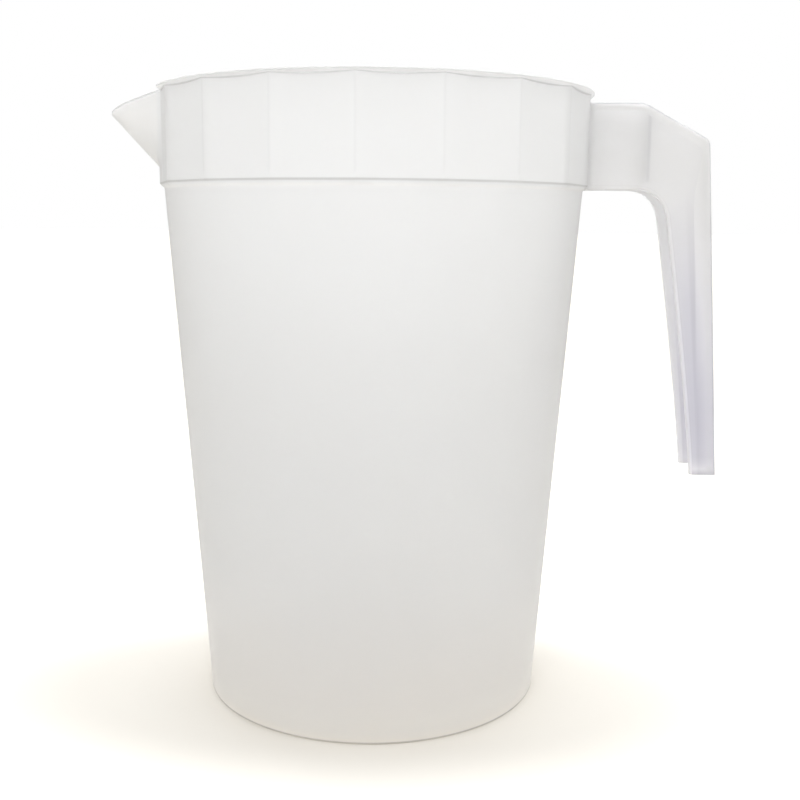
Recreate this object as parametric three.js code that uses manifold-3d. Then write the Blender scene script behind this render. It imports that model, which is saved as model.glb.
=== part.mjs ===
// A two-litre pouring jug in milky polypropylene, modelled in its own frame: +Z up, the origin at
// the centre of the base, the handle along +X and the spout along -X. Sizes are in millimetres.
// The real jug is one moulding. Here each region of it that has a name is a solid of its own.
import * as THREE from "three";
import { mergeVertices } from "three/addons/utils/BufferGeometryUtils.js";
import Module from "manifold-3d";

const wasm = await Module();
wasm.setup();

// ---- driving dimensions ----
const HEIGHT = 200; // table to the top of the rim
const BASE_RADIUS = 56.4; // outside of the wall at the table
const BODY_TOP_RADIUS = 68.6; // outside of the wall under the collar
const FACETS = 18; // flat sides of the collar
const COLLAR_CORNER_RADIUS = 70.2; // axis to a corner of the collar
const COLLAR_BOTTOM = 170.6; // lowest edge of the flat sides
const SHOULDER_DROP = 1.5; // from that edge down to the wall
const LIP_RADIUS = 71.3; // the round lip at the rim
const LIP_BAND = 0.6; // its upright edge
const LIP_FLARE = 0.9; // its sloping underside
const WALL = 2.0;
const FLOOR = 2.6;
const BASE_CORNER = 0.9; // outer radius between wall and base
const FLOOR_CORNER = 3.0; // inner radius between wall and floor
const GAP = 0.3; // between neighbouring solids

const SPOUT_REACH = 88.7; // axis to the tip
const SPOUT_HALF_ANGLE = 18; // the spout's sides leave the collar this far from its middle
const SPOUT_TIP_HEIGHT = 194.0;
const SPOUT_ROOT_HEIGHT = 199.6; // top edge of the spout where it leaves the collar
const KEEL_SLOPE = 1.08; // rise of the keel for each millimetre outwards
const SPOUT_TAPER_START = 66.5; // from here out the top edge drops, first slowly and then fast
const SPOUT_NOSE_DROP = 1.85; // the fast part of that drop, close to the tip
const SPOUT_ROOT_DEPTH = 1.8; // the sides start this far inside the collar's flat face
const LIP_STOP = 4.0; // clear distance from the flared lip's end to the spout's side

const HANDLE_WIDTH = 20;
const HANDLE_WALL = 2.0;
const ARM_TOP = 197.0;
const ARM_UNDERSIDE = 170.4;
const ARM_END = 86.6; // where the level top turns down into the slope
const RIB_X = 88.4; // middle of the cross rib
const RIB_THICKNESS = 1.6;
const ELBOW = [107.6, 185.6]; // corner between the slope and the grip
const GRIP_FOOT = [115.0, 76.5]; // lowest outer corner of the grip
const GRIP_FOOT_WIDTH = 8.6; // depth of the channel's sides at the foot
const GRIP_KNEE = [95.0, 161.0]; // top of the straight inner edge of the grip
const GRIP_BOW = [104.6, 99]; // where the grip's inner edge curves towards
const ARM_BOW = 92.9; // and where the arm's underside does
const ARM_TURN = 84.5; // end of the straight underside
const RIB_FOOT = 172.5;
const RIB_TOP_GAP = 1.4;

const SEGMENTS = FACETS * 4; // round parts share the collar's corners

// ---- materials ----
const milky = (color) =>
  new THREE.MeshStandardMaterial({ color, roughness: 0.42, metalness: 0, transparent: true, opacity: 0.85 });

// ---- solids from geometries and back ----
function solidOf(geometry) {
  const bare = geometry.clone();
  bare.deleteAttribute("normal");
  bare.deleteAttribute("uv");
  const merged = mergeVertices(bare, 1e-4);
  return new wasm.Manifold(
    new wasm.Mesh({
      numProp: 3,
      vertProperties: new Float32Array(merged.attributes.position.array),
      triVerts: new Uint32Array(merged.index.array),
    })
  );
}

function geometryOf(solid) {
  const mesh = solid.getMesh();
  const geometry = new THREE.BufferGeometry();
  geometry.setAttribute("position", new THREE.BufferAttribute(new Float32Array(mesh.vertProperties), 3));
  geometry.setIndex(new THREE.BufferAttribute(new Uint32Array(mesh.triVerts), 1));
  geometry.computeVertexNormals();
  return geometry;
}

// Distance from the axis to an 18-sided outline, given its corner radius and the angle in degrees.
function facetRadius(cornerRadius, angle) {
  const side = 360 / FACETS;
  const fromMiddle = THREE.MathUtils.euclideanModulo(angle + side / 2, side) - side / 2;
  const toRadians = THREE.MathUtils.degToRad;
  return (cornerRadius * Math.cos(toRadians(side / 2))) / Math.cos(toRadians(fromMiddle));
}

// A solid of revolution about Z. Each profile point is [radius, height, faceted]: a faceted point
// follows the 18-sided outline with its corners at that radius, the others are round.
function turned(profile) {
  const points = profile.map(([r, z]) => new THREE.Vector2(r, z));
  const geometry = new THREE.LatheGeometry(points, SEGMENTS);
  const position = geometry.attributes.position;
  for (let i = 0; i < position.count; i++) {
    const [r, z, faceted] = profile[i % profile.length];
    const angle = (360 * Math.floor(i / profile.length)) / SEGMENTS;
    const radius = faceted ? facetRadius(r, angle) : r;
    const radians = THREE.MathUtils.degToRad(angle);
    position.setXYZ(i, radius * Math.cos(radians), radius * Math.sin(radians), z);
  }
  return solidOf(geometry);
}

// An outline drawn in X and Z, extruded to the given width about the plane Y = 0.
function slab(shape, width) {
  const geometry = new THREE.ExtrudeGeometry(shape, { depth: width, bevelEnabled: false, curveSegments: 8 });
  geometry.translate(0, 0, -width / 2);
  geometry.rotateX(Math.PI / 2);
  return solidOf(geometry);
}

function box(x0, x1, y0, y1, z0, z1) {
  const geometry = new THREE.BoxGeometry(x1 - x0, y1 - y0, z1 - z0);
  geometry.translate((x0 + x1) / 2, (y0 + y1) / 2, (z0 + z1) / 2);
  return solidOf(geometry);
}

// Points on a quarter round between two directions, for profiles.
function arc(centreR, centreZ, radius, from, to, steps, faceted = 0) {
  const points = [];
  for (let i = 0; i <= steps; i++) {
    const angle = THREE.MathUtils.degToRad(from + ((to - from) * i) / steps);
    points.push([centreR + radius * Math.cos(angle), centreZ + radius * Math.sin(angle), faceted]);
  }
  return points;
}

// ---- body of the jug ----
const wallSlope = (BODY_TOP_RADIUS - BASE_RADIUS) / COLLAR_BOTTOM;
const outerRadius = (z) => BASE_RADIUS + wallSlope * z;

// Tapered wall and floor, a cup that is open at the top.
function vessel() {
  const top = COLLAR_BOTTOM - SHOULDER_DROP - GAP;
  const innerFoot = outerRadius(FLOOR + FLOOR_CORNER) - WALL;
  return turned([
    [0, 0, 0],
    ...arc(outerRadius(BASE_CORNER) - BASE_CORNER, BASE_CORNER, BASE_CORNER, -90, 0, 3),
    [outerRadius(top), top, 0],
    [outerRadius(top) - WALL, top, 0],
    ...arc(innerFoot - FLOOR_CORNER, FLOOR + FLOOR_CORNER, FLOOR_CORNER, 0, -90, 3),
    [0, FLOOR, 0],
  ]);
}

const collarTop = HEIGHT - LIP_BAND - LIP_FLARE;

// Faceted band with the shoulder that brings it in to the round wall.
function collarRing() {
  const foot = COLLAR_BOTTOM - SHOULDER_DROP;
  return turned([
    [outerRadius(foot) - WALL, foot, 0],
    [outerRadius(foot), foot, 0],
    [COLLAR_CORNER_RADIUS, COLLAR_BOTTOM, 1],
    [COLLAR_CORNER_RADIUS, collarTop - GAP, 1],
    [COLLAR_CORNER_RADIUS - WALL, collarTop - GAP, 1],
    [COLLAR_CORNER_RADIUS - WALL, COLLAR_BOTTOM + 0.6, 1],
    [outerRadius(foot) - WALL, foot, 0],
  ]);
}

// The round lip, whose underside flares out from the flat sides.
function lipRing() {
  return turned([
    [COLLAR_CORNER_RADIUS - WALL, collarTop, 1],
    [COLLAR_CORNER_RADIUS, collarTop, 1],
    [LIP_RADIUS, HEIGHT - LIP_BAND, 0],
    [LIP_RADIUS, HEIGHT - 0.2, 0],
    [LIP_RADIUS - 0.3, HEIGHT, 0],
    [COLLAR_CORNER_RADIUS - WALL, HEIGHT, 1],
    [COLLAR_CORNER_RADIUS - WALL, collarTop, 1],
  ]);
}

// ---- spout ----
const halfAngle = THREE.MathUtils.degToRad(SPOUT_HALF_ANGLE);
const rootRadius = facetRadius(COLLAR_CORNER_RADIUS, SPOUT_HALF_ANGLE);
const sideSlope = (rootRadius * Math.sin(halfAngle)) / (SPOUT_REACH - rootRadius * Math.cos(halfAngle));
const rootX = rootRadius * Math.cos(halfAngle) - SPOUT_ROOT_DEPTH;
const rootY = sideSlope * (SPOUT_REACH - rootX);
const keelReach = (z) => SPOUT_REACH - (SPOUT_TIP_HEIGHT - z) / KEEL_SLOPE;

// Height of the spout's top edge at a distance out from the axis.
function spoutTop(reach) {
  const u = Math.max(0, (reach - SPOUT_TAPER_START) / (SPOUT_REACH - SPOUT_TAPER_START));
  const drop = SPOUT_ROOT_HEIGHT - SPOUT_TIP_HEIGHT;
  return SPOUT_ROOT_HEIGHT - (drop - SPOUT_NOSE_DROP) * u - SPOUT_NOSE_DROP * u ** 8;
}

// The whole wedge between the spout's sides, moved inwards by inset: each level is a triangle
// whose point lies on the keel. It runs back to the axis, and its top is raised by raise.
function spoutWedge(inset, raise) {
  const bottom = 160;
  const steps = 10;
  const slant = Math.hypot(SPOUT_REACH - rootX, rootY);
  const tip = SPOUT_REACH - (inset * slant) / rootY;
  const root = rootY - (inset * slant) / (SPOUT_REACH - rootX);
  const shape = new THREE.Shape();
  shape.moveTo(0, -root);
  for (let i = 0; i <= steps; i++) {
    shape.lineTo(-rootX - ((tip - rootX) * i) / steps, -root * (1 - i / steps));
  }
  for (let i = 1; i <= steps; i++) {
    shape.lineTo(-tip + ((tip - rootX) * i) / steps, (root * i) / steps);
  }
  shape.lineTo(0, root);
  const geometry = new THREE.ExtrudeGeometry(shape, { depth: 1, steps: 12, bevelEnabled: false });
  const position = geometry.attributes.position;
  for (let i = 0; i < position.count; i++) {
    const x = position.getX(i);
    const z = bottom + position.getZ(i) * (spoutTop(-x) + raise - bottom);
    const squeeze = THREE.MathUtils.clamp((keelReach(z) - rootX) / (SPOUT_REACH - rootX), 0.02, 1);
    const reach = -x > rootX ? rootX + (-x - rootX) * squeeze : -x;
    position.setXYZ(i, -reach, position.getY(i), z);
  }
  return solidOf(geometry);
}

const spoutChannel = spoutWedge(WALL, 8);

// Everything within the collar's outline, grown by a gap.
function insideCollar(gap) {
  return turned([
    [0, 150, 0],
    [COLLAR_CORNER_RADIUS + gap, 150, 1],
    [COLLAR_CORNER_RADIUS + gap, 210, 1],
    [0, 210, 0],
  ]);
}

const spout = () => spoutWedge(0, 0).subtract(spoutChannel).subtract(insideCollar(GAP));

// The lip's flare stops short of the spout, and the rest of the lip ends at the spout's channel.
function openLip() {
  const besideSpout = spoutWedge(-LIP_STOP, 8).subtract(insideCollar(0));
  return lipRing().subtract(spoutChannel).subtract(besideSpout);
}

// ---- handle: a channel with a flat back and two sides, open towards the fingers ----
// Outline of the whole bracket in X and Z, with its back and top moved in by inset.
function bracketShape(inset) {
  const slope = Math.atan2(ARM_TOP - ELBOW[1], ELBOW[0] - ARM_END);
  const lean = Math.atan2(GRIP_FOOT[0] - ELBOW[0], ELBOW[1] - GRIP_FOOT[1]);
  const slopeShift = inset * Math.tan(slope / 2);
  const elbowTurn = (Math.PI / 2 - slope - lean) / 2;
  const elbow = [
    ELBOW[0] - inset * (Math.sin(slope) + Math.cos(slope) * Math.tan(elbowTurn)),
    ELBOW[1] - inset * (Math.cos(slope) - Math.sin(slope) * Math.tan(elbowTurn)),
  ];
  const foot = [GRIP_FOOT[0] - inset / Math.cos(lean), GRIP_FOOT[1]];
  const drop = inset > 0 ? 3 : 0; // the cut runs out past the open sides
  const shape = new THREE.Shape();
  const start = COLLAR_CORNER_RADIUS * Math.cos(Math.PI / FACETS) + GAP;
  shape.moveTo(start - drop, ARM_TOP - inset);
  shape.lineTo(ARM_END - slopeShift, ARM_TOP - inset);
  const radius = inset > 0 ? 1.5 : 3.5;
  const before = [elbow[0] - radius * Math.cos(slope), elbow[1] + radius * Math.sin(slope)];
  const after = [elbow[0] + radius * Math.sin(lean), elbow[1] - radius * Math.cos(lean)];
  shape.lineTo(before[0], before[1]);
  shape.quadraticCurveTo(elbow[0], elbow[1], after[0], after[1]);
  shape.lineTo(foot[0], foot[1] - drop);
  shape.lineTo(GRIP_FOOT[0] - GRIP_FOOT_WIDTH - drop, foot[1] - drop);
  shape.quadraticCurveTo(GRIP_BOW[0] - drop, GRIP_BOW[1], GRIP_KNEE[0] - drop, GRIP_KNEE[1]);
  shape.quadraticCurveTo(ARM_BOW - drop, ARM_UNDERSIDE - drop, ARM_TURN - drop, ARM_UNDERSIDE - drop);
  shape.lineTo(start - drop, ARM_UNDERSIDE - drop);
  shape.closePath();
  return shape;
}

const bracketShell = () =>
  slab(bracketShape(0), HANDLE_WIDTH).subtract(slab(bracketShape(HANDLE_WALL), HANDLE_WIDTH - 2 * HANDLE_WALL));

// Level part, from the collar to the cross rib.
const handleArm = () => bracketShell().intersect(box(60, RIB_X - GAP / 2, -20, 20, 100, 210));

// Sloping shoulder and upright grip, below and beyond the cross rib.
const handleGrip = () => bracketShell().intersect(box(RIB_X + GAP / 2, 130, -20, 20, 60, 210));

// Plate across the channel where the arm turns down.
function handleRib() {
  const halfWidth = HANDLE_WIDTH / 2 - HANDLE_WALL - GAP;
  const top = ARM_TOP - HANDLE_WALL - GAP - RIB_TOP_GAP;
  return box(RIB_X - RIB_THICKNESS / 2, RIB_X + RIB_THICKNESS / 2, -halfWidth, halfWidth, RIB_FOOT, top);
}

// ---- the jug ----
function addPart(group, name, solid, color) {
  const mesh = new THREE.Mesh(geometryOf(solid), milky(color));
  mesh.name = name;
  group.add(mesh);
}

const jug = new THREE.Group();
jug.name = "pouring_jug";

addPart(jug, "vessel", vessel(), 0xe6e6e8);
addPart(jug, "collar", collarRing().subtract(spoutChannel), 0xf0f0f1);
addPart(jug, "rim_lip", openLip(), 0xeeeeef);
addPart(jug, "spout", spout(), 0xebebec);

const handle = new THREE.Group();
handle.name = "handle";
addPart(handle, "handle_arm", handleArm(), 0xe8e7e8);
addPart(handle, "handle_rib", handleRib(), 0xe4e3e6);
addPart(handle, "handle_grip", handleGrip(), 0xe2e1e8);
jug.add(handle);

export default jug;
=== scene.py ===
"""A two-litre pouring jug in milky polypropylene on a white table.

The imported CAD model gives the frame. Three fine meshes stand for its solids: the jug itself, which is
one skin from the floor to the rim and out along the spout, the channel handle, and the rib across it.
The frame has +Z up, the origin at the centre of the base, the handle along +X and the spout along -X.
"""

import math

import bmesh
import bpy
import numpy as np
from mathutils import Matrix, Vector


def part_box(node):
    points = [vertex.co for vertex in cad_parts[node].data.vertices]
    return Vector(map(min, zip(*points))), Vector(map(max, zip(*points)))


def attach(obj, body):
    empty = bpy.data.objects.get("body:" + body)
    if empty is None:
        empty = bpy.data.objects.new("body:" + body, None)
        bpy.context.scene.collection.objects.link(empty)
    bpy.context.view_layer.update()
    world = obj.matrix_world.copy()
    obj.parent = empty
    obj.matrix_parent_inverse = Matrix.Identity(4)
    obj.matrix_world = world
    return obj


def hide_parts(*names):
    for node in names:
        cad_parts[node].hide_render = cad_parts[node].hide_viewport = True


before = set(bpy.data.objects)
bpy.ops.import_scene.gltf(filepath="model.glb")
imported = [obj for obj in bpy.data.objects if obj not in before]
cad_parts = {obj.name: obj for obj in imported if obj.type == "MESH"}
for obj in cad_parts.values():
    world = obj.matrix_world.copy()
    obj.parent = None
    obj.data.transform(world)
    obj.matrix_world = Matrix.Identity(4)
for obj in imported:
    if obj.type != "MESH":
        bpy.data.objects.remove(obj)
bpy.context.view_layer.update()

MM = 0.001

# ---- sizes, in millimetres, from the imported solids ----
RIM_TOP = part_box("rim_lip")[1].z / MM
LIP_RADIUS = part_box("rim_lip")[1].y / MM
CORNER_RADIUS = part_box("collar")[1].y / MM  # axis to a corner of the 18-sided collar
SHOULDER_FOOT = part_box("collar")[0].z / MM
ARM_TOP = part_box("handle_arm")[1].z / MM
ARM_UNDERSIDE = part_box("handle_arm")[0].z / MM
SPOUT_REACH = -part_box("spout")[0].x / MM
HANDLE_HALF_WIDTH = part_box("handle_grip")[1].y / MM
GRIP_FOOT = (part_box("handle_grip")[1].x / MM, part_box("handle_grip")[0].z / MM)
RIB_LOW, RIB_HIGH = (Vector(corner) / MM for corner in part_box("handle_rib"))

# ---- sizes in millimetres that the boxes don't give ----
FACETS = 18
SIDE = 360 / FACETS  # degrees
BASE_RADIUS = 56.4
BODY_TOP_RADIUS = 68.6
COLLAR_BOTTOM = 170.6
WALL = 2.0
FLOOR = 2.6
BASE_CORNER = 0.5
FLOOR_CORNER = 3.0
LIP_BAND = 0.6
LIP_FLARE = 0.9
SPOUT_HALF_ANGLE = 18.0
SPOUT_TIP_HEIGHT = 194.0
SPOUT_ROOT_HEIGHT = 199.6
SPOUT_TAPER_START = 66.5
SPOUT_NOSE_DROP = 1.85
KEEL_SLOPE = 1.08
ARM_END = 86.6
ELBOW = (107.6, 185.6)
GRIP_FOOT_WIDTH = 8.6
GRIP_KNEE = (95.0, 161.0)
GATE_MARK_HEIGHT = 0.35
ARM_BEND = 84.5
ARM_BOW = 92.9
LEG_TOP = 168
LEG_LEAN = 0.0705  # outwards for each millimetre down
GRIP_BOW = (104.6, 99)
RIB_INTO_SIDES = 0.1
RIB_UNDER_WEB = 0.4

# ---- painted shade and light along edges: distance or share, then tone from -1, painted shade, to 1, painted light ----
CORNER_SHADE_LINE = (-0.12, 0.35)  # tone and width of the painted shade lines down the collar's corners
FOOT_SHADE_AND_LIGHT = ((0.15, -0.5), (0.6, 0.9))  # above the base corner: a thin line of painted shade, then painted light
WALL_FOOT_LIGHT = ((3, 0.9), (6, 0.6), (9, 0.25))  # above the table: painted light on the wall's foot, fading upwards
SHOULDER_HIGHLIGHT = ((-1.2, 0), (-0.35, 0.3), (0, 1), (0.4, 0.9))  # above the shoulder's foot: a painted highlight along the fillet
# above the collar's lower edge: a dark line of painted shade, with a little painted light below it
COLLAR_FOOT_SHADE = (
    (-0.7, 0.2), (-0.3, -0.2), (-0.12, -0.7), (0.05, -0.8), (0.3, -0.7), (0.5, -0.1), (0.9, 0)
)
# share of the lip's flare out, share up, then tone: painted shade under the flare and at its edge, painted
# light between
FLARE_SHADE_AND_LIGHT = ((0.1, 0.12, -0.8), (0.5, 0.5, 0.2), (0.9, 0.9, 0.1), (1.0, 1.1, -0.4))
ROUNDING_SHADE = ((0, -0.4), (30, -0.2), (60, -0.1), (90, 0))  # degrees round the lip's edge: painted shade, fading out towards the top

# ---- camera, in metres and degrees round the jug's axis ----
CAMERA_DISTANCE = 0.3724
CAMERA_HEIGHT = 0.1603
CAMERA_AZIMUTH = 4.35
CAMERA_PITCH = 9.43
CAMERA_YAW = 1.40
CAMERA_ROLL = -0.47
CAMERA_LENS = 49.33  # millimetres
SENSOR_WIDTH = 36  # millimetres

# ---- light, and the table's shade and glow near the jug ----
FLOOR_LIFT = 0.46
FLOOR_GLOW = 0.24
BRIGHTEST_WAY = (0.02, -0.2, 1.0)
DIM_LIGHT = 0.39
BRIGHT_LIGHT = 1.21
FRONT_LIGHT = 0.85
SIDE_LIGHT = 0.3
BACK_LIGHT = 3.3
SHADE_STRETCH = (0.5, 1.05, 0)
SHADE_SHIFT = (0.003, 0.016, 0)
SHADE_SPAN = (0.045, 0.092)
SHADE_LIFT = 0.04
GLOW_SPAN = (0.055, 0.11)
TABLE_HALF = 12.0


def smooth_min(a, b, width):
    """The smaller of two lengths, with the corner between them rounded over width."""
    h = np.clip(0.5 + 0.5 * (b - a) / width, 0, 1)
    return b + (a - b) * h - width * h * (1 - h)


def smooth_max(a, b, width):
    """The larger of two lengths, rounded in the same way."""
    return -smooth_min(-a, -b, width)


def smooth_step(x, low, high):
    """From 0 at low to 1 at high, level at both ends."""
    t = np.clip((x - low) / (high - low), 0, 1)
    return t * t * (3 - 2 * t)


# ---- the jug as one skin in polar form ----
def polygon_radius(angle, corner_radius, rounding=0.12):
    """Distance from the axis to the 18-sided outline at an angle in degrees, with softened corners."""
    apothem = corner_radius * math.cos(math.radians(SIDE / 2))
    from_middle = np.radians((angle + SIDE / 2) % SIDE - SIDE / 2)
    this_side = apothem / np.cos(from_middle)
    next_side = apothem / np.cos(math.radians(SIDE) - np.abs(from_middle))
    return smooth_min(this_side, next_side, rounding)


ROOT_RADIUS = float(polygon_radius(SPOUT_HALF_ANGLE, CORNER_RADIUS))
ROOT_X = ROOT_RADIUS * math.cos(math.radians(SPOUT_HALF_ANGLE))
ROOT_Y = ROOT_RADIUS * math.sin(math.radians(SPOUT_HALF_ANGLE))


def keel_reach(z):
    """How far the keel is from the axis at a height."""
    return SPOUT_REACH - np.maximum(SPOUT_TIP_HEIGHT - z, 0) / KEEL_SLOPE


def spout_radius(angle, z, inset):
    """Distance from the axis to the spout's sides, which run from the collar to the keel."""
    from_keel = np.abs(angle - 180)
    beta = np.radians(np.minimum(from_keel, SPOUT_HALF_ANGLE))
    keel = np.maximum(keel_reach(z), ROOT_X)
    level = ROOT_Y * keel - inset * np.hypot(keel - ROOT_X, ROOT_Y)
    across = (keel - ROOT_X) * np.sin(beta)
    along = ROOT_Y * np.cos(beta)
    this_side = level / (along + across)
    other_side = level / np.maximum(along - across, 1e-3)
    root_fade = 0.3 * smooth_step(from_keel, SPOUT_HALF_ANGLE - 5, SPOUT_HALF_ANGLE)
    past_root = 1.5 * np.maximum(from_keel - SPOUT_HALF_ANGLE, 0)
    below_keel = 2.5 * np.maximum(CORNER_RADIUS - 3 - keel_reach(z), 0)
    return smooth_min(this_side, other_side, 0.5) - root_fade - past_root - below_keel


def spout_top(reach):
    """Height of the spout's top edge, which drops slowly and then fast towards the tip."""
    u = np.clip((reach - SPOUT_TAPER_START) / (SPOUT_REACH - SPOUT_TAPER_START), 0, 1)
    straight_drop = SPOUT_ROOT_HEIGHT - SPOUT_TIP_HEIGHT - SPOUT_NOSE_DROP
    return SPOUT_ROOT_HEIGHT - straight_drop * u - SPOUT_NOSE_DROP * u**8


def wall_radius(z):
    """The outside of the round taper."""
    return BASE_RADIUS + (BODY_TOP_RADIUS - BASE_RADIUS) * z / COLLAR_BOTTOM


def outer_radius(angle, z):
    """The outside of the jug above its base corner."""
    flat_sides = polygon_radius(angle, CORNER_RADIUS)
    slope = np.clip((z - SHOULDER_FOOT) / (COLLAR_BOTTOM - SHOULDER_FOOT), 0, 1)
    plain = wall_radius(z) * (1 - slope) + flat_sides * slope
    return smooth_max(plain, spout_radius(angle, z, 0), 0.8)


def inner_radius(angle, z):
    """The inside of the jug above its floor."""
    flat_sides = polygon_radius(angle, CORNER_RADIUS - WALL, 0.4)
    slope = np.clip((z - SHOULDER_FOOT) / (COLLAR_BOTTOM + 0.6 - SHOULDER_FOOT), 0, 1)
    plain = (wall_radius(z) - WALL) * (1 - slope) + flat_sides * slope
    return smooth_max(plain, spout_radius(angle, z, WALL), 1.2)


def column_angles():
    """Angles of the grid's columns, closer together at the collar's corners, the spout and its tip."""
    spout_fan, tip_fan, smallest_step = 34, 3, 0.08
    angles = set(np.arange(0, 360, 2.0).round(3))
    for k in range(FACETS):
        for offset in (-0.9, -0.45, -0.22, -0.1, 0, 0.1, 0.22, 0.45, 0.9):
            angles.add(round((SIDE / 2 + SIDE * k + offset) % 360, 3))
    angles.update(np.arange(180 - spout_fan, 180 + spout_fan + 0.01, 0.5).round(3))
    angles.update(np.arange(180 - tip_fan, 180 + tip_fan + 0.01, 0.2).round(3))
    ordered = sorted(angles)
    kept = [ordered[0]]
    for angle in ordered[1:]:
        if angle - kept[-1] > smallest_step:
            kept.append(angle)
    return np.array(kept)


def arc_points(centre_r, centre_z, radius, start, end, count):
    """Points along an arc between two angles in degrees."""
    turn = np.radians(np.linspace(start, end, count))
    return [(centre_r + radius * math.cos(t), centre_z + radius * math.sin(t)) for t in turn]


def underside_profile():
    """From the gate mark at the centre out to the base corner: a shallow ring groove round a flat disc."""
    ring, groove_and_grip_shade = 44.0, 0.5
    profile = [(0.9, GATE_MARK_HEIGHT), (1.3, GATE_MARK_HEIGHT), (1.6, 0.05), (2.2, 0.0)]
    profile += [(12, 0), (26, 0), (38, 0)]
    profile += [(ring - 1.4, 0), (ring - 1.0, 0.12), (ring - 0.6, groove_and_grip_shade)]
    profile += [(ring + 0.6, groove_and_grip_shade), (ring + 1.0, 0.12), (ring + 1.4, 0), (50, 0), (53, 0)]
    corner_start = wall_radius(BASE_CORNER) - BASE_CORNER
    return profile + arc_points(corner_start, BASE_CORNER, BASE_CORNER, -90, 0, 7)


def floor_profile():
    """From the inner foot of the wall in to the centre of the floor."""
    height = FLOOR + FLOOR_CORNER
    corner = arc_points(wall_radius(height) - WALL - FLOOR_CORNER, height, FLOOR_CORNER, 0, -90, 8)
    return corner + [(42, FLOOR), (28, FLOOR), (14, FLOOR), (1.0, FLOOR)]


def skin_rows(angles):
    """Rows from the centre of the base, up the outside, over the rim and down to the middle of the floor.

    Each row is a radius, a height and a tone. The tone is 0 on plain wall, down to -1 for painted shade where
    an edge or a fold of the wall looks darker, and up to 1 for painted light on a fillet and on the spout's
    thin sides.
    """
    full = np.ones_like(angles)
    # Painted shade: a thin dark line down each corner of the collar.
    from_corner = np.radians(np.abs((angles + SIDE) % SIDE - SIDE / 2)) * CORNER_RADIUS
    line_tone, line_width = CORNER_SHADE_LINE
    corner_shade_line = line_tone * np.exp(-((from_corner / line_width) ** 2))
    collar = polygon_radius(angles, CORNER_RADIUS)
    underside = underside_profile()
    shaded_rows = 4  # the outer half of the base corner, painted dark as shade against the table
    rows = [(full * r, full * z, full * 0) for r, z in underside[:-shaded_rows]]
    rows += [(full * r, full * z, full * -1.0) for r, z in underside[-shaded_rows:]]

    def outside(z, painted_shading=0.0):
        radius = outer_radius(angles, z)
        # Painted light: the spout's thin sides are painted up to white.
        on_spout = smooth_step(radius - collar, 0.3, 1.5)
        rows.append((radius, z, painted_shading + (1 - painted_shading) * on_spout))

    def inside(z):
        rows.append((inner_radius(angles, z), z, full * 0))

    for above, painted_shading in FOOT_SHADE_AND_LIGHT:
        outside(full * (BASE_CORNER + above), painted_shading)
    for z, painted_shading in WALL_FOOT_LIGHT:
        outside(full * z, painted_shading)
    for z in np.linspace(13, SHOULDER_FOOT - 2.2, 34):
        outside(full * z)
    for above, painted_shading in SHOULDER_HIGHLIGHT:
        outside(full * (SHOULDER_FOOT + above), painted_shading)
    for above, painted_shading in COLLAR_FOOT_SHADE:
        outside(full * (COLLAR_BOTTOM + above), painted_shading)

    # The rim: a flared lip round the collar, a plain rounded edge along the spout.
    from_spout = np.abs(angles - 180)
    lip = smooth_step(from_spout, SPOUT_HALF_ANGLE + 0.5, SPOUT_HALF_ANGLE + 7)
    reach = outer_radius(angles, full * SPOUT_TIP_HEIGHT) * np.cos(np.radians(angles - 180))
    top = RIM_TOP * lip + spout_top(reach) * (1 - lip)
    flat_middle = CORNER_RADIUS * (1 - math.cos(math.radians(SIDE / 2)))
    hollow = (CORNER_RADIUS - collar) / flat_middle
    flare = LIP_FLARE * (0.35 + 0.65 * hollow)
    flare_foot = top - (LIP_BAND + flare) * lip - 0.75 * (1 - lip)
    band_low = COLLAR_BOTTOM + 1.8
    for t in np.linspace(0, 1, 28):
        outside(band_low + (flare_foot - 0.5 - band_low) * t, corner_shade_line * (1 if 0 < t < 1 else 0.5))
    # Painted shade just under the lip's flare and at its foot.
    outside(flare_foot - 0.2, corner_shade_line * 0.5 - 0.1)
    edge_outer = outer_radius(angles, flare_foot)
    rows.append((edge_outer, flare_foot, full * -0.75))
    edge_inner = inner_radius(angles, top)
    proud = (LIP_RADIUS - edge_outer) * lip
    middle = (edge_outer + edge_inner) / 2
    for out, up, painted_shading in FLARE_SHADE_AND_LIGHT:
        rows.append((edge_outer + proud * out, flare_foot + flare * lip * up, full * painted_shading))

    def rounded(radius, degrees):
        """How far in and down a rounded edge is, from its side at 0 degrees to its top at 90."""
        turn = math.radians(degrees)
        return radius * (1 - math.cos(turn)), radius * (1 - math.sin(turn))

    # Painted shade on the lip's rounded edge, darker still along the spout's edge.
    for degrees, painted_shading in ROUNDING_SHADE:
        across, down = rounded(0.3, degrees)
        rows.append((edge_outer + proud - across, top - down, painted_shading * lip - 0.9 * (1 - lip)))
    rows.append((middle, top, full * 0))
    for degrees in (90, 60, 30, 0):
        across, down = rounded(0.6, degrees)
        rows.append((edge_inner + across, top - down, full * 0))

    # The inside, down to the floor.
    high = top - 1.0
    for t in np.linspace(0, 1, 26):
        inside(high + (COLLAR_BOTTOM + 1.2 - high) * t)
    for above in (0.7, 0.5, -0.75, -1.4, -1.6):
        inside(full * (COLLAR_BOTTOM + above))
    for z in np.linspace(SHOULDER_FOOT - 1.5, FLOOR + FLOOR_CORNER + 1.5, 24):
        inside(full * z)
    rows += [(full * r, full * z, full * 0) for r, z in floor_profile()]
    return rows


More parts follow.
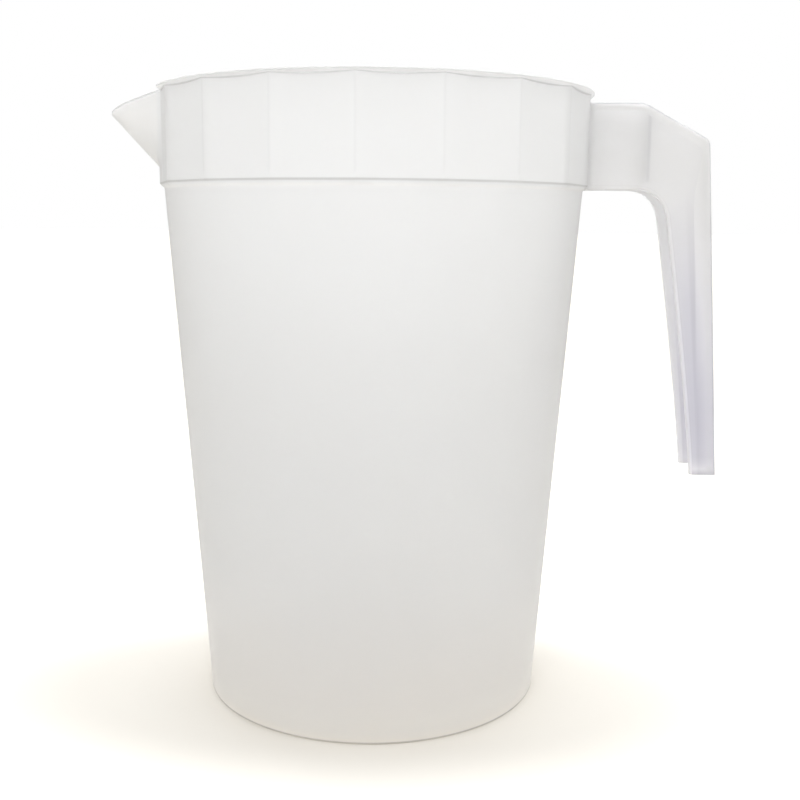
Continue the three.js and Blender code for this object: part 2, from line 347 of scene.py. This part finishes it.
def mesh_object(name, vertices, faces, tones=None):
    """A smooth object from vertices in millimetres, with a tone of painted shade and light for each vertex if
    given.
    """
    mesh = bpy.data.meshes.new(name)
    mesh.from_pydata([tuple(v) for v in np.asarray(vertices) * MM], [], faces)
    mesh.update()
    if tones is not None:
        mesh.attributes.new("painted_shading", "FLOAT", "POINT").data.foreach_set("value", np.asarray(tones, np.float32))
    ob = bpy.data.objects.new(name, mesh)
    bpy.context.scene.collection.objects.link(ob)
    bm = bmesh.new()
    bm.from_mesh(mesh)
    bmesh.ops.recalc_face_normals(bm, faces=bm.faces)
    bm.to_mesh(mesh)
    bm.free()
    for polygon in mesh.polygons:
        polygon.use_smooth = True
    return ob


def build_jug():
    """The jug as a closed grid of rows and columns, with a fan at the middle of its base and floor."""
    angles = column_angles()
    columns = len(angles)
    turn = np.radians(angles)
    vertices, tones = [], []
    for radius, z, painted_shading in skin_rows(angles):
        vertices.append(np.stack([radius * np.cos(turn), radius * np.sin(turn), z], 1))
        tones.append(painted_shading)
    count = len(vertices)
    vertices = np.concatenate(vertices)
    faces = []
    for i in range(count - 1):
        a, b = i * columns, (i + 1) * columns
        for j in range(columns):
            k = (j + 1) % columns
            faces.append((a + j, a + k, b + k, b + j))
    low, high = len(vertices), len(vertices) + 1
    centres = [(0, 0, GATE_MARK_HEIGHT), (0, 0, FLOOR)]
    vertices = np.concatenate([vertices, centres])
    tones = np.concatenate([*tones, [0, 0]])
    last = (count - 1) * columns
    for j in range(columns):
        k = (j + 1) % columns
        faces.append((low, k, j))
        faces.append((last + j, last + k, high))
    return mesh_object("jug_body", vertices, faces, tones)


# ---- the handle: a channel swept from the collar to its free end ----
def rounded_path(points, radii, spacing):
    """A polyline in X and Z with its inner corners replaced by arcs, as a dense list of points."""
    path = [np.array(points[0], float)]
    for i in range(1, len(points) - 1):
        a, b, c = (np.array(p, float) for p in points[i - 1 : i + 2])
        to_a, to_c = (a - b) / np.linalg.norm(a - b), (c - b) / np.linalg.norm(c - b)
        half = math.acos(np.clip(to_a @ to_c, -1, 1)) / 2
        tangent = radii[i - 1] / math.tan(half)
        start, end = b + to_a * tangent, b + to_c * tangent
        for t in np.linspace(0, 1, 9):
            path.append((1 - t) ** 2 * start + 2 * t * (1 - t) * b + t * t * end)
    path.append(np.array(points[-1], float))
    path = np.array(path)
    lengths = np.concatenate([[0], np.cumsum(np.linalg.norm(np.diff(path, axis=0), axis=1))])
    samples = np.linspace(0, lengths[-1], max(2, int(lengths[-1] / spacing)))
    return np.stack([np.interp(samples, lengths, path[:, k]) for k in (0, 1)], 1)


def resampled(path, count):
    """The same path as count evenly spaced points."""
    lengths = np.concatenate([[0], np.cumsum(np.linalg.norm(np.diff(path, axis=0), axis=1))])
    samples = np.linspace(0.0, 1.0, count) * lengths[-1]
    return np.stack([np.interp(samples, lengths, path[:, k]) for k in (0, 1)], 1)


def bezier(p0, p1, p2, count):
    """Points along a quadratic curve."""
    t = np.linspace(0, 1, count)[:, None]
    return (1 - t) ** 2 * np.array(p0) + 2 * t * (1 - t) * np.array(p1) + t * t * np.array(p2)


def handle_stations():
    """Pairs of points along the handle: one on its back, one on the free edge of its sides."""
    root = CORNER_RADIUS * math.cos(math.radians(SIDE / 2)) - 0.4
    turn_end = (ELBOW[0] + LEG_LEAN * (ELBOW[1] - LEG_TOP), LEG_TOP)
    arm_shares = np.array([0, 0.02, 0.045, 0.07, 0.1, 0.14, 0.2, 0.3, 0.45, 0.6, 0.8])
    arm_x = root + (ARM_BEND - root) * arm_shares
    back_arm = np.stack([arm_x, np.full_like(arm_x, ARM_TOP)], 1)
    edge_arm = np.stack([arm_x, np.full_like(arm_x, ARM_UNDERSIDE)], 1)
    back_turn = rounded_path([(ARM_BEND, ARM_TOP), (ARM_END, ARM_TOP), ELBOW, turn_end], [7.0, 3.6], 0.25)
    edge_turn = bezier((ARM_BEND, ARM_UNDERSIDE), (ARM_BOW, ARM_UNDERSIDE), GRIP_KNEE, 60)
    edge_foot = (GRIP_FOOT[0] - GRIP_FOOT_WIDTH, GRIP_FOOT[1])
    edge_leg = bezier(GRIP_KNEE, GRIP_BOW, edge_foot, 80)
    back_leg = np.array([turn_end, GRIP_FOOT])
    turn_count, leg_count = 56, 44
    back = np.concatenate([back_arm, resampled(back_turn, turn_count), resampled(back_leg, leg_count)[1:]])
    edge = np.concatenate([edge_arm, resampled(edge_turn, turn_count), resampled(edge_leg, leg_count)[1:]])
    return back, edge


def channel_loop(depth, wall, back_wall, band, groove_and_grip_shade, low, end_light):
    """The channel's section, one way round: distance from the back, distance from the middle, and tone.

    The side is painted light over a band beside the back, then painted shade that grows down the grip, then
    plain.
    The contrast falls lower down, and painted light is added to the sides at the channel's end.
    """
    half = HANDLE_HALF_WIDTH
    outer, lip, inner = 0.45, 0.45, 0.9

    def corner(p, y, radius, start, way, painted_shading):
        turn = [math.radians(start + way * 90 * k / 4) for k in range(5)]
        return [(p + radius * math.cos(t), y + radius * math.sin(t), painted_shading) for t in turn]

    # Every tone in the loop is painted shading: light on the back, the band and the free edges, shade in the
    # corners.
    half_loop = [(0, y, 0.3) for y in (0, half * 0.4, half * 0.75, half - outer - 0.3)]
    half_loop += corner(outer, half - outer, outer, 180, -1, -0.7)
    web, free = back_wall, depth - lip
    plain = -0.38 * groove_and_grip_shade + end_light
    painted_shade = -0.58 * groove_and_grip_shade + 0.1 * low + end_light
    painted_light = 1.0 - 0.9 * groove_and_grip_shade - 0.35 * low + end_light
    within = 0.3 - 0.4 * groove_and_grip_shade - 0.3 * low
    rest = free - 1.0 - band
    half_loop += [(outer + 0.25, half, painted_light), (band * 0.5, half, painted_light), (band, half, painted_light - 0.3 * groove_and_grip_shade)]
    half_loop += [(band + min(0.18 * rest, 0.7), half, painted_shade), (band + 0.3 * rest, half, painted_shade)]
    half_loop += [(band + rest * share, half, plain) for share in (0.45, 0.7, 0.85, 1)]
    half_loop += [(free - 0.7, half, plain - 0.1), (free - 0.35, half, 0.6)]
    half_loop += corner(free, half - lip, lip, 90, -1, 0.8)
    half_loop += corner(free, half - wall + lip, lip, 0, -1, 0.8)
    half_loop += [(web + inner + (free - web - inner) * t, half - wall, within) for t in (0.75, 0.5, 0.25)]
    half_loop += corner(web + inner, half - wall - inner, inner, 90, 1, within)
    half_loop += [(web, (half - wall) * t, 0.2) for t in (0.6, 0.3, 0)]
    mirrored = [(p, -y, painted_shading) for p, y, painted_shading in reversed(half_loop[1:-1])]
    return half_loop + mirrored


def side_shading(height):
    """The painted light band's width, the painted shade, the fall of contrast and the painted light and shade
    at the end, for channel_loop at a height of the handle's back.
    """
    down = RIM_TOP - height
    above_foot = height - GRIP_FOOT[1]
    band = 2.4 + 0.4 * smooth_step(down, 3, 12) + 2.7 * smooth_step(down, 12, 28)
    groove_and_grip_shade = smooth_step(down, 12, 70)
    low = smooth_step(down, 60, 110)
    # Painted light near the grip's end, and a line of painted shade at the end itself.
    end_light = 0.45 * (1 - smooth_step(above_foot, 0.6, 6.5))
    end_shade_line = -0.9 * (1 - smooth_step(above_foot, 0.0, 0.5))
    return band, groove_and_grip_shade, low, end_light + end_shade_line


def root_widening(from_face, share):
    """How far the channel's sides spread where they meet the collar, more towards their free edge."""
    flare = 0.9 + 1.7 * share
    u = np.clip(from_face / flare, 0, 1)
    return flare * (1 - math.sqrt(max(1 - (1 - u) ** 2, 0))) * 0.85


def build_handle():
    """The channel's section swept along its stations, with fillets at the collar."""
    back, edge = handle_stations()
    tangent = np.gradient(back, axis=0)
    tangent /= np.linalg.norm(tangent, axis=1)[:, None]
    inward = np.stack([tangent[:, 1], -tangent[:, 0]], 1)
    inward[inward[:, 1] > 0.2] *= -1
    vertices, tones, loops = [], [], []
    face_x = CORNER_RADIUS * math.cos(math.radians(SIDE / 2))
    for outer_point, edge_point, normal in zip(back, edge, inward):
        across = edge_point - outer_point
        depth = np.linalg.norm(across)
        across = across / depth
        back_wall = min(WALL / max(abs(across @ normal), 0.5), 3.2)
        loop = channel_loop(depth, WALL, back_wall, *side_shading(outer_point[1]))
        start = len(vertices)
        for p, y, painted_shading in loop:
            x, z = outer_point + across * p
            if abs(y) > HANDLE_HALF_WIDTH - WALL / 2:
                y += math.copysign(root_widening(x - face_x, np.clip(p / depth, 0, 1)), y)
            vertices.append((x, y, z))
            # Painted light where the sides meet the collar.
            tones.append(painted_shading + 0.7 * (1 - smooth_step(x - face_x, 0, 3.5)))
        loops.append(range(start, len(vertices)))
    faces = []
    for a, b in zip(loops, loops[1:]):
        n = len(a)
        for j in range(n):
            k = (j + 1) % n
            faces.append((a[j], a[k], b[k], b[j]))
    faces.append(tuple(loops[0]))
    faces.append(tuple(reversed(loops[-1])))
    handle = mesh_object("handle_channel", vertices, faces, tones)
    bevel = handle.modifiers.new("soft_foot", "BEVEL")
    bevel.width = 0.35 * MM
    bevel.segments = 3
    bevel.limit_method = "ANGLE"
    bevel.angle_limit = math.radians(60)
    return handle


def build_rib():
    """The plate across the channel, with rounded edges."""
    low, high = RIB_LOW, RIB_HIGH
    half = HANDLE_HALF_WIDTH - WALL + RIB_INTO_SIDES
    top = ARM_TOP - WALL - RIB_UNDER_WEB
    bm = bmesh.new()
    bmesh.ops.create_cube(bm, size=1)
    size = Vector((high.x - low.x, 2 * half, top - low.z))
    centre = Vector(((low.x + high.x) / 2, 0, (top + low.z) / 2))
    placing = Matrix.Translation(centre * MM) @ Matrix.Diagonal((size * MM).to_4d())
    bmesh.ops.transform(bm, matrix=placing, verts=bm.verts)
    mesh = bpy.data.meshes.new("handle_rib_plate")
    bm.to_mesh(mesh)
    bm.free()
    ob = bpy.data.objects.new("handle_rib_plate", mesh)
    bpy.context.scene.collection.objects.link(ob)
    bevel = ob.modifiers.new("soft_edges", "BEVEL")
    bevel.width = 0.4 * MM
    bevel.segments = 4
    bevel.limit_method = "ANGLE"
    for polygon in mesh.polygons:
        polygon.use_smooth = True
    return ob


# ---- materials ----
MIX_COLOUR_A, MIX_COLOUR_B, MIX_COLOUR_OUT = 6, 7, 2  # a Mix node's colour sockets share their names


def map_range(tree, value, from_span=(0, 1), to_span=(0, 1), smooth=False):
    """The value carried from one span to another, along a line or a smooth step."""
    node = tree.nodes.new("ShaderNodeMapRange")
    if smooth:
        node.interpolation_type = "SMOOTHSTEP"
    for name, number in zip(("From Min", "From Max", "To Min", "To Max"), (*from_span, *to_span)):
        node.inputs[name].default_value = number
    tree.links.new(value, node.inputs["Value"])
    return node.outputs["Result"]


class Nodes:
    """A material's node tree with short calls to add and join nodes."""

    def __init__(self, name):
        self.material = bpy.data.materials.new(name)
        self.material.use_nodes = True
        self.tree = self.material.node_tree
        self.tree.nodes.clear()
        self.output = self.tree.nodes.new("ShaderNodeOutputMaterial")

    def add(self, kind, **values):
        node = self.tree.nodes.new(kind)
        for name, value in values.items():
            if name in node.inputs:
                node.inputs[name].default_value = value
            else:
                setattr(node, name, value)
        return node

    def join(self, a, b):
        self.tree.links.new(a, b)


def rib_shadow(n, place, painted_shading, depth):
    """The tone, lowered in a thin upright line of painted shadow where the cross rib meets the handle's
    sides.
    """
    split = n.add("ShaderNodeSeparateXYZ")
    n.join(place.outputs["Object"], split.inputs["Vector"])
    offset = n.add("ShaderNodeMath", operation="SUBTRACT")
    n.join(split.outputs["X"], offset.inputs[0])
    offset.inputs[1].default_value = (RIB_LOW.x + RIB_HIGH.x) / 2 * MM
    distance = n.add("ShaderNodeMath", operation="ABSOLUTE")
    n.join(offset.outputs["Value"], distance.inputs[0])
    line = map_range(n.tree, distance.outputs["Value"], (0.0001, 0.0009), (-depth, 0), smooth=True)
    ends = (RIB_LOW.z * MM - 0.001, RIB_LOW.z * MM + 0.001)
    upper = map_range(n.tree, split.outputs["Z"], ends, smooth=True)
    shown = n.add("ShaderNodeMath", operation="MULTIPLY_ADD")
    n.join(line, shown.inputs[0])
    n.join(upper, shown.inputs[1])
    n.join(painted_shading, shown.inputs[2])
    return shown.outputs["Value"]


def milky_plastic(name, painted_shade, plain, painted_light, lower_shading_colour, tint_span, haze_density, rib_line=0.0):
    """Natural polypropylene: light goes through it but no picture does.

    The colour follows the tone of the mesh, from painted shade through the plastic's plain colour to painted
    light, drifts a little in soft flow clouds, and lower down turns to a painted colour over a given span:
    warm light from the table on the jug's foot, cooler shade down the handle's grip. The rib behind the
    handle's side shows as a painted shadow line.
    """
    n = Nodes(name)
    shader = n.add("ShaderNodeBsdfPrincipled")
    shader.inputs["Subsurface Weight"].default_value = 1.0
    shader.inputs["Subsurface Radius"].default_value = (1.0, 1.0, 1.0)
    shader.inputs["Subsurface Scale"].default_value = 0.006
    shader.inputs["Transmission Weight"].default_value = 0.45
    shader.inputs["IOR"].default_value = 1.25
    shader.inputs["Specular IOR Level"].default_value = 0.5
    place = n.add("ShaderNodeTexCoord")
    clouds = n.add("ShaderNodeTexNoise", Scale=9.0, Detail=3.0)
    n.join(place.outputs["Object"], clouds.inputs["Vector"])

    painted_shading = n.add("ShaderNodeAttribute", attribute_name="painted_shading").outputs["Fac"]
    # Painted shadow: a thin line where the rib meets the handle's sides.
    if rib_line:
        painted_shading = rib_shadow(n, place, painted_shading, rib_line)
    level = map_range(n.tree, painted_shading, (-1, 1))
    # Painted shade at the ramp's dark end, the plastic's plain colour in the middle, painted light at the
    # white end.
    shade = n.add("ShaderNodeValToRGB")
    shade.color_ramp.elements[0].color = (*painted_shade, 1)
    shade.color_ramp.elements[1].color = (*painted_light, 1)
    middle = shade.color_ramp.elements.new(0.5)
    middle.color = (*plain, 1)
    n.join(level, shade.inputs["Fac"])

    drift = map_range(n.tree, clouds.outputs["Fac"], (0.3, 0.7), (0.0, 0.25))
    split = n.add("ShaderNodeSeparateXYZ")
    n.join(place.outputs["Object"], split.inputs["Vector"])
    lower = map_range(n.tree, split.outputs["Z"], tint_span)
    amount = n.add("ShaderNodeMath", operation="MULTIPLY_ADD")
    n.join(lower, amount.inputs[0])
    amount.inputs[1].default_value = 0.8
    n.join(drift, amount.inputs[2])
    # Painted colour lower down: warm light from the table on the jug's foot, a cooler shade on the handle's
    # grip.
    lower_shading_mix = n.add("ShaderNodeMix", data_type="RGBA", blend_type="MULTIPLY")
    n.join(amount.outputs["Value"], lower_shading_mix.inputs["Factor"])
    n.join(shade.outputs["Color"], lower_shading_mix.inputs[MIX_COLOUR_A])
    lower_shading_mix.inputs[MIX_COLOUR_B].default_value = (*lower_shading_colour, 1)
    n.join(lower_shading_mix.outputs[MIX_COLOUR_OUT], shader.inputs["Base Color"])

    roughness = map_range(n.tree, clouds.outputs["Fac"], to_span=(0.32, 0.42))
    n.join(roughness, shader.inputs["Roughness"])
    grain = n.add("ShaderNodeTexNoise", Scale=900.0, Detail=2.0)
    n.join(place.outputs["Object"], grain.inputs["Vector"])
    bump = n.add("ShaderNodeBump", Strength=0.03, Distance=0.0002)
    n.join(grain.outputs["Fac"], bump.inputs["Height"])
    n.join(bump.outputs["Normal"], shader.inputs["Normal"])
    n.join(shader.outputs["BSDF"], n.output.inputs["Surface"])
    haze = n.add("ShaderNodeVolumeAbsorption", Density=haze_density)
    haze.inputs["Color"].default_value = (0.5, 0.5, 0.49, 1)
    n.join(haze.outputs["Volume"], n.output.inputs["Volume"])
    return n.material


# ---- floor, light and camera ----


def build_camera():
    """The camera beside the jug, looking down a little."""
    data = bpy.data.cameras.new("camera")
    data.lens = CAMERA_LENS
    data.sensor_width = SENSOR_WIDTH
    data.clip_start = 0.01
    camera = bpy.data.objects.new("camera", data)
    azimuth = math.radians(CAMERA_AZIMUTH)
    camera.location = (
        CAMERA_DISTANCE * math.sin(azimuth),
        -CAMERA_DISTANCE * math.cos(azimuth),
        CAMERA_HEIGHT,
    )
    heading = azimuth - math.radians(CAMERA_YAW)
    turn = Matrix.Rotation(heading, 4, "Z") @ Matrix.Rotation(math.radians(90 - CAMERA_PITCH), 4, "X")
    turn = turn @ Matrix.Rotation(math.radians(-CAMERA_ROLL), 4, "Z")
    camera.rotation_euler = turn.to_euler()
    bpy.context.scene.collection.objects.link(camera)
    bpy.context.scene.camera = camera


def build_floor():
    """A wide pale table top, with a warm shade near the jug that the camera sees fade to white.

    The table gives off light: one amount to the camera, and near the jug another that lights its foot.
    """
    half = TABLE_HALF / MM
    corners = [(-half, -half, 0), (half, -half, 0), (half, half, 0), (-half, half, 0)]
    floor = mesh_object("table_top", corners, [(0, 1, 2, 3)])
    n = Nodes("pale_table")
    shader = n.add("ShaderNodeBsdfPrincipled", Roughness=0.8)
    shader.inputs["Base Color"].default_value = (0.69, 0.668, 0.622, 1)
    shader.inputs["Specular IOR Level"].default_value = 0.1
    shader.inputs["Emission Color"].default_value = (1.0, 0.98, 0.94, 1)
    place = n.add("ShaderNodeTexCoord")
    shift = n.add("ShaderNodeVectorMath", operation="MULTIPLY_ADD")
    n.join(place.outputs["Object"], shift.inputs[0])
    shift.inputs[1].default_value = SHADE_STRETCH
    shift.inputs[2].default_value = SHADE_SHIFT
    away = n.add("ShaderNodeVectorMath", operation="LENGTH")
    n.join(shift.outputs["Vector"], away.inputs[0])
    # Painted shade: the white lift is held back near the jug in a stretched, shifted oval, so the real shadow
    # shows there in that shape.
    fade = map_range(n.tree, away.outputs["Value"], SHADE_SPAN, (SHADE_LIFT, FLOOR_LIFT), smooth=True)
    # Painted light: near the jug the table glows, unseen by the camera, to light the jug's foot.
    glow = map_range(n.tree, away.outputs["Value"], GLOW_SPAN, (FLOOR_GLOW, 0), smooth=True)
    ray = n.add("ShaderNodeLightPath")
    lift = n.add("ShaderNodeMix")
    n.join(ray.outputs["Is Camera Ray"], lift.inputs["Factor"])
    n.join(glow, lift.inputs["A"])
    n.join(fade, lift.inputs["B"])
    n.join(lift.outputs["Result"], shader.inputs["Emission Strength"])
    n.join(shader.outputs["BSDF"], n.output.inputs["Surface"])
    floor.data.materials.append(n.material)


def area_light(name, place, target, size, power):
    """A white rectangular softbox that faces its target."""
    data = bpy.data.lights.new(name, "AREA")
    data.shape = "RECTANGLE"
    data.size, data.size_y = size
    data.energy = power
    light = bpy.data.objects.new(name, data)
    light.location = place
    light.rotation_euler = (Vector(target) - Vector(place)).to_track_quat("-Z", "Y").to_euler()
    bpy.context.scene.collection.objects.link(light)


def build_light():
    """A room bright overhead and dimmer below, white to the camera, with three softboxes."""
    world = bpy.data.worlds.new("studio")
    world.use_nodes = True
    tree = world.node_tree
    background = tree.nodes["Background"]
    place = tree.nodes.new("ShaderNodeTexCoord")
    facing = tree.nodes.new("ShaderNodeVectorMath")
    facing.operation = "DOT_PRODUCT"
    tree.links.new(place.outputs["Generated"], facing.inputs[0])
    facing.inputs[1].default_value = Vector(BRIGHTEST_WAY).normalized()
    glow = map_range(tree, facing.outputs["Value"], (-0.6, 1.0), (DIM_LIGHT, BRIGHT_LIGHT))
    ray = tree.nodes.new("ShaderNodeLightPath")
    seen = tree.nodes.new("ShaderNodeMix")
    tree.links.new(ray.outputs["Is Camera Ray"], seen.inputs["Factor"])
    tree.links.new(glow, seen.inputs["A"])
    seen.inputs["B"].default_value = 1.0
    tree.links.new(seen.outputs["Result"], background.inputs["Strength"])
    background.inputs["Color"].default_value = (1, 1, 1, 1)
    bpy.context.scene.world = world
    area_light("softbox_front", (-0.04, -0.5, 0.5), (0, 0, 0.18), (0.3, 0.2), FRONT_LIGHT)
    area_light("softbox_right", (0.35, -0.1, 0.45), (0.07, 0, 0.19), (0.3, 0.3), SIDE_LIGHT)
    area_light("softbox_back", (0, 0.42, 0.55), (0, 0, 0.19), (1.2, 0.3), BACK_LIGHT)
    scene = bpy.context.scene
    scene.view_settings.view_transform = "Standard"
    scene.view_settings.look = "None"
    scene.view_settings.exposure = 0
    scene.cycles.max_bounces = 24
    scene.cycles.diffuse_bounces = 8
    scene.cycles.transmission_bounces = 24
    scene.cycles.transparent_max_bounces = 24


# ---- the scene ----
wall_material = milky_plastic(
    "milky_wall",
    # The dark end is painted shade and the white end painted light; plain is the plastic's own colour.
    painted_shade=(0.52, 0.52, 0.52),
    plain=(0.915, 0.927, 0.945),
    painted_light=(1, 1, 1),
    # Painted warm light from the table, over the jug's lowest 5 cm.
    lower_shading_colour=(1.0, 0.95, 0.89),
    tint_span=(0.05, 0.0),
    haze_density=72,
)
handle_material = milky_plastic(
    "milky_handle",
    # The dark end is painted shade and the white end painted light; plain is the plastic's own colour.
    painted_shade=(0.50, 0.50, 0.52),
    plain=(0.955, 0.955, 0.962),
    painted_light=(1, 1, 1),
    # Painted cooler shade down the lower part of the grip.
    lower_shading_colour=(0.88, 0.876, 0.95),
    tint_span=(0.18, 0.10),
    haze_density=30,
    rib_line=0.25,
)

jug = build_jug()
jug.data.materials.append(wall_material)
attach(jug, "root")
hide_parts("vessel", "collar", "rim_lip", "spout")

handle = build_handle()
handle.data.materials.append(handle_material)
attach(handle, "root")
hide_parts("handle_arm", "handle_grip")

rib = build_rib()
rib.data.materials.append(handle_material)
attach(rib, "root")
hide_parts("handle_rib")

build_floor()
build_light()
build_camera()
